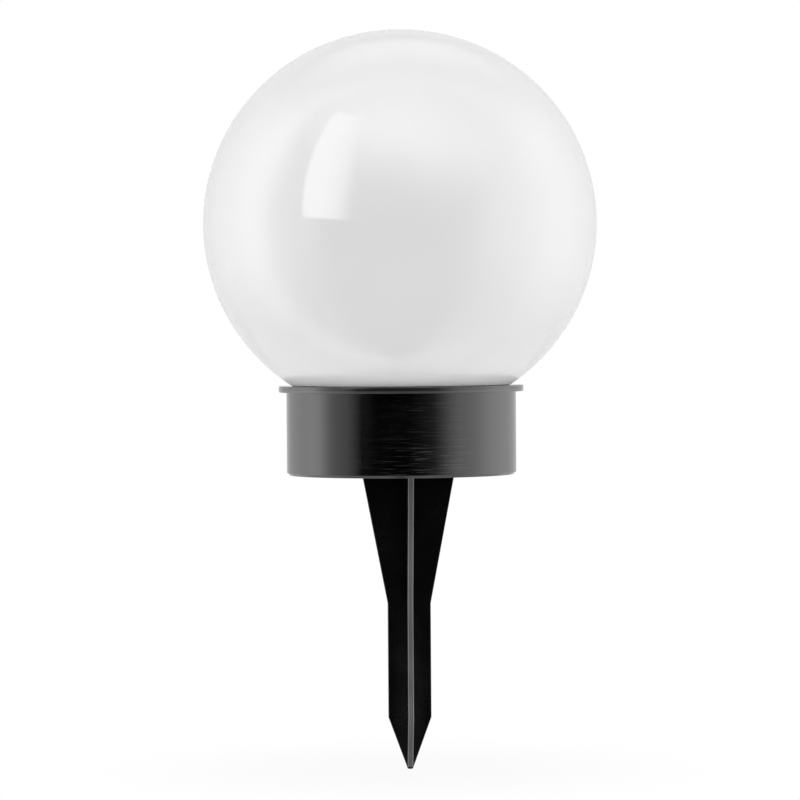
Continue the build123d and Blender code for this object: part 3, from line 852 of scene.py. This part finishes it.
def makeCellWrap():
    material, tree, shader = startMaterial("cell_sleeve", IOR=1.5)
    plating = addEffect(tree, platedMetal, Scale=cellLook["scratches"])
    mottle = addEffect(tree, mouldedGrain, Scale=cellLook["grain"])["Mottle"]
    along = doVector(tree, "DOT_PRODUCT", restPlace(tree), cellLook["axis"])
    first, last = cellLook["endsAt"]
    bare = farFrom(tree, along, (first + last) / 2, (last - first) / 2)
    bandLow, bandHigh = cellLook["bandAt"]
    plain = farFrom(tree, along, (bandLow + bandHigh) / 2, (bandHigh - bandLow) / 2)
    sleeve = mixColours(tree, mottle, cellLook["sleeve"], cellLook["shade"])
    wrapped = mixColours(tree, plain, cellLook["band"], sleeve)
    feed(tree, shader["Base Color"], mixColours(tree, bare, wrapped, cellLook["ends"]))
    feed(tree, shader["Metallic"], bare)
    feed(tree, shader["Roughness"], remap(tree, plating["Scratch"], 0.0, 1.0, *cellLook["roughness"]))
    feed(tree, shader["Normal"], bump(tree, mottle, cellLook["sleeveDepth"]))
    return material


dress(makeCellWrap(), "battery_cell")
print("battery dressed")


# Floor and studio

floorLook = {
    "radius": 0.75,
    "segments": 128,
    "drop": 0.2 * mm,  # below the spike's tip
    "fadeFrom": 0.02,
    "fadeTo": 0.14,
    "shadowShare": 0.10,  # of the floor's own shade that the camera sees near the part
    "colour": (0.86, 0.86, 0.86, 1.0),
}


def makeFloor():
    mesh = bpy.data.meshes.new("floor")
    level = cadBox[0].z - floorLook["drop"]
    radius = floorLook["radius"]
    rim = []
    for index in range(floorLook["segments"]):
        turn = 2 * math.pi * index / floorLook["segments"]
        rim.append((radius * math.cos(turn), radius * math.sin(turn), level))
    mesh.from_pydata(rim, [], [range(len(rim))])
    floor = bpy.data.objects.new("floor", mesh)
    bpy.context.scene.collection.objects.link(floor)
    floor.visible_glossy = False
    material = bpy.data.materials.new("pale_floor")
    material.use_nodes = True
    tree = material.node_tree
    tree.nodes.clear()
    x, y = splitAxes(tree, restPlace(tree))[:2]
    flat = addNode(tree, "ShaderNodeCombineXYZ")
    feed(tree, flat.inputs["X"], x)
    feed(tree, flat.inputs["Y"], y)
    away = doVector(tree, "LENGTH", flat.outputs["Vector"])
    nearShare = 1 - floorLook["shadowShare"]
    share = remap(tree, away, floorLook["fadeFrom"], floorLook["fadeTo"], nearShare, 1.0, smooth=True)
    path = addNode(tree, "ShaderNodeLightPath")
    matt = addNode(tree, "ShaderNodeBsdfDiffuse")
    matt.inputs["Color"].default_value = floorLook["colour"]
    white = addNode(tree, "ShaderNodeEmission")
    clear = addNode(tree, "ShaderNodeBsdfTransparent")
    seen = addNode(tree, "ShaderNodeMixShader")
    feed(tree, seen.inputs[0], doMath(tree, "MULTIPLY", share, path.outputs["Is Camera Ray"]))
    feed(tree, seen.inputs[1], matt.outputs[0])
    feed(tree, seen.inputs[2], white.outputs[0])
    fromBelow = addNode(tree, "ShaderNodeMixShader")
    feed(tree, fromBelow.inputs[0], addNode(tree, "ShaderNodeNewGeometry").outputs["Backfacing"])
    feed(tree, fromBelow.inputs[1], seen.outputs[0])
    feed(tree, fromBelow.inputs[2], clear.outputs[0])
    out = addNode(tree, "ShaderNodeOutputMaterial")
    feed(tree, out.inputs["Surface"], fromBelow.outputs[0])
    mesh.materials.append(material)
    return floor


cameraLook = {
    "lens": 181.65,
    "distance": 1.54,
    "azimuth": -3.4,  # degrees, to the left of the front
    "eyeHeight": 57.0 * mm,
    "aimHeight": 28.35 * mm,
    "aimSide": -0.45 * mm,
    "roll": -0.40,  # degrees
}

studio = {
    "sides": [  # degrees from the camera, positive to its right, and level
        (-180, 0.84), (-164, 0.86), (-147, 0.95), (-127, 1.36), (-113, 1.70), (-102, 2.06),
        (-91, 2.10), (-83, 1.66), (-76, 1.16), (-67, 0.87), (-57, 0.72), (-48, 0.36),
        (-40, 0.0), (-31, 0.0), (8, 0.0), (17, 0.03), (25, 0.07), (33, 0.145),
        (42, 0.47), (51, 0.91), (60, 1.23), (69, 1.36), (79, 1.54), (90, 1.82),
        (102, 1.94), (116, 1.74), (131, 1.34), (149, 1.02), (164, 0.86), (180, 0.84),
    ],
    "sidesLow": (-10, -45, 0.5),  # the side banks fade from here, to here, to this share
    "sidesRise": (8, 26, 1.03),  # rise a little
    "sidesHigh": (30, 54, 0.77),  # and fade again
    "top": [  # degrees above the level, and level
        (5, 0.0), (9, 0.09), (18, 0.26), (27, 0.61), (36, 1.05),
        (45, 1.68), (55, 1.98), (65, 1.92), (76, 1.69), (90, 1.79),
    ],
    "topBehind": (-0.3, 0.3, 0.70),  # the top bank fades from here, to here, to this share
    "topAside": (0.15, 0.55, 0.82),
    "topLean": 22,  # degrees that it hangs lower at the right
    "table": 1.0,  # pale table below, mirrored at the globe's lower edge
    "tableFrom": (-12, -24),
    "tableAhead": (-0.1, 0.35, 0.1),  # its share in front, and up to where
    "ambient": 0.725,
    "topShare": 0.07,
    "highest": 2.2,
}

strip = {
    "lowLeft": (-1.731, -1.140, 0.072),
    "lowRight": (-1.008, -1.838, 0.018),
    "highLeft": (-1.561, -0.625, 2.855),
    "level": 2.45,
    "across": [
        (0.0, 0.0), (0.105, 0.0), (0.14, 1.0), (0.42, 1.0),
        (0.62, 0.75), (0.78, 0.3), (0.9, 0.05), (1.0, 0.0),
    ],
    "upward": [(0.0, 0.0), (0.145, 0.0), (0.157, 1.0), (0.85, 1.0), (0.88, 0.0), (1.0, 0.0)],
    "margin": 0.2,  # room left beside the strip in both of these
    "widening": 0.6,  # wider towards its top
    "grazing": 0.02,  # a ray closer to its plane than this sees none of it
}

glow = {  # light that has come through the globe's wall and bounced about inside
    "power": 0.0535,
    "radius": 30 * mm,
}


def makeStrip(tree, direction):  # one long soft box, seen on its own leaning plane
    corners = ("lowLeft", "lowRight", "highLeft")
    lowLeft, lowRight, highLeft = [Vector(strip[name]) for name in corners]
    width = lowRight - lowLeft
    height = highLeft - lowLeft
    facing = width.cross(height).normalized()
    facing *= math.copysign(1.0, facing.dot(lowLeft))
    widthShare = height.cross(facing) / width.dot(height.cross(facing))
    heightShare = width.cross(facing) / height.dot(width.cross(facing))
    ahead = doVector(tree, "DOT_PRODUCT", direction, facing)
    reach = doMath(tree, "DIVIDE", lowLeft.dot(facing), doMath(tree, "MAXIMUM", ahead, strip["grazing"]))
    stretched = addNode(tree, "ShaderNodeVectorMath", operation="SCALE")
    feed(tree, stretched.inputs["Vector"], direction)
    feed(tree, stretched.inputs["Scale"], reach)
    place = doVector(tree, "SUBTRACT", stretched.outputs["Vector"], lowLeft)
    low, high = -strip["margin"], 1 + strip["margin"]
    rise = doVector(tree, "DOT_PRODUCT", place, heightShare)
    room = doMath(tree, "MULTIPLY_ADD", doMath(tree, "MAXIMUM", rise, 0.0), strip["widening"], 1.0)
    side = doMath(tree, "DIVIDE", doVector(tree, "DOT_PRODUCT", place, widthShare), room)
    across = remap(tree, side, low, high, 0.0, 1.0)
    upward = remap(tree, rise, low, high, 0.0, 1.0)
    acrossLevel = ramp(tree, across, strip["across"])
    upwardLevel = ramp(tree, upward, strip["upward"])
    shape = doMath(tree, "MULTIPLY", acrossLevel, upwardLevel)
    shown = doMath(tree, "MULTIPLY", shape, doMath(tree, "GREATER_THAN", ahead, strip["grazing"]))
    return doMath(tree, "MULTIPLY", shown, strip["level"])


def makeWorld():
    world = bpy.data.worlds.new("studio")
    bpy.context.scene.world = world
    world.use_nodes = True
    world.cycles.sampling_method = "NONE"  # what a ray sees depends on its kind
    tree = world.node_tree
    tree.nodes.clear()
    turn = addNode(tree, "ShaderNodeVectorRotate", rotation_type="Z_AXIS")
    feed(tree, turn.inputs["Vector"], addNode(tree, "ShaderNodeTexCoord").outputs["Generated"])
    turn.inputs["Angle"].default_value = -math.radians(cameraLook["azimuth"])
    x, y, z = splitAxes(tree, turn.outputs["Vector"])
    azimuth = doMath(tree, "ARCTAN2", x, doMath(tree, "MULTIPLY", y, -1.0))
    elevation = doMath(tree, "ARCSINE", z)
    highest = studio["highest"]
    sideStops = [((degrees + 180) / 360, level / highest) for degrees, level in studio["sides"]]
    topStops = [(degrees / 90, level / highest) for degrees, level in studio["top"]]
    sides = ramp(tree, remap(tree, azimuth, -math.pi, math.pi, 0.0, 1.0), sideStops)
    for fadeFrom, fadeTo, left in (studio["sidesLow"], studio["sidesRise"], studio["sidesHigh"]):
        fade = remap(tree, elevation, math.radians(fadeFrom), math.radians(fadeTo), 1.0, left)
        sides = doMath(tree, "MULTIPLY", sides, fade)
    rightward = doMath(tree, "MAXIMUM", x, 0.0)
    leaning = doMath(tree, "MULTIPLY_ADD", rightward, math.radians(studio["topLean"]), elevation)
    ceiling = ramp(tree, remap(tree, leaning, 0.0, math.pi / 2, 0.0, 1.0), topStops)
    aside = doMath(tree, "ABSOLUTE", x)
    for way, name in ((y, "topBehind"), (aside, "topAside")):
        fadeFrom, fadeTo, left = studio[name]
        ceiling = doMath(tree, "MULTIPLY", ceiling, remap(tree, way, fadeFrom, fadeTo, 1.0, left))
    nearest, furthest, ahead = studio["tableAhead"]
    tableFrom, tableTo = [math.radians(degrees) for degrees in studio["tableFrom"]]
    table = remap(tree, elevation, tableFrom, tableTo, 0.0, studio["table"] / highest)
    table = doMath(tree, "MULTIPLY", table, remap(tree, y, nearest, furthest, ahead, 1.0))
    lit = doMath(tree, "MAXIMUM", doMath(tree, "MAXIMUM", sides, ceiling), table)
    room = doMath(tree, "MULTIPLY", lit, highest)
    banks = doMath(tree, "MAXIMUM", room, makeStrip(tree, turn.outputs["Vector"]))
    plain = doMath(tree, "MULTIPLY_ADD", z, studio["topShare"], studio["ambient"])
    path = addNode(tree, "ShaderNodeLightPath")
    mirrored = doMath(
        tree, "MAXIMUM", path.outputs["Is Glossy Ray"], path.outputs["Is Transmission Ray"])
    level = remap(tree, mirrored, 0.0, 1.0, plain, banks)
    light = addNode(tree, "ShaderNodeBackground")
    feed(tree, light.inputs["Strength"], level)
    white = addNode(tree, "ShaderNodeBackground")
    for shade in (light, white):
        shade.inputs["Color"].default_value = (1.0, 1.0, 1.0, 1.0)
    shown = addNode(tree, "ShaderNodeMixShader")
    feed(tree, shown.inputs[0], path.outputs["Is Camera Ray"])
    feed(tree, shown.inputs[1], light.outputs[0])
    feed(tree, shown.inputs[2], white.outputs[0])
    feed(tree, addNode(tree, "ShaderNodeOutputWorld").inputs["Surface"], shown.outputs[0])


def makeGlow():
    low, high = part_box("globe")
    lamp = bpy.data.lights.new("glow", "POINT")
    lamp.energy = glow["power"]
    lamp.shadow_soft_size = glow["radius"]
    holder = bpy.data.objects.new("glow", lamp)
    bpy.context.scene.collection.objects.link(holder)
    holder.location = (0, 0, high.z - (high.x - low.x) / 2)


def makeCamera():
    turn = math.radians(cameraLook["azimuth"])
    side = Vector((math.cos(turn), math.sin(turn), 0.0))
    eye = Vector((math.sin(turn), -math.cos(turn), 0.0)) * cameraLook["distance"]
    eye.z = cameraLook["eyeHeight"]
    aim = side * cameraLook["aimSide"]
    aim.z = cameraLook["aimHeight"]
    lens = bpy.data.cameras.new("camera")
    lens.lens = cameraLook["lens"]
    camera = bpy.data.objects.new("camera", lens)
    bpy.context.scene.collection.objects.link(camera)
    turned = (aim - eye).to_track_quat("-Z", "Y").to_matrix().to_4x4()
    rolled = Matrix.Rotation(math.radians(cameraLook["roll"]), 4, "Z")
    camera.matrix_world = Matrix.Translation(eye) @ turned @ rolled
    bpy.context.scene.camera = camera


makeFloor()
makeWorld()
makeGlow()
makeCamera()
bpy.context.scene.view_settings.view_transform = "Standard"
print("studio lit")
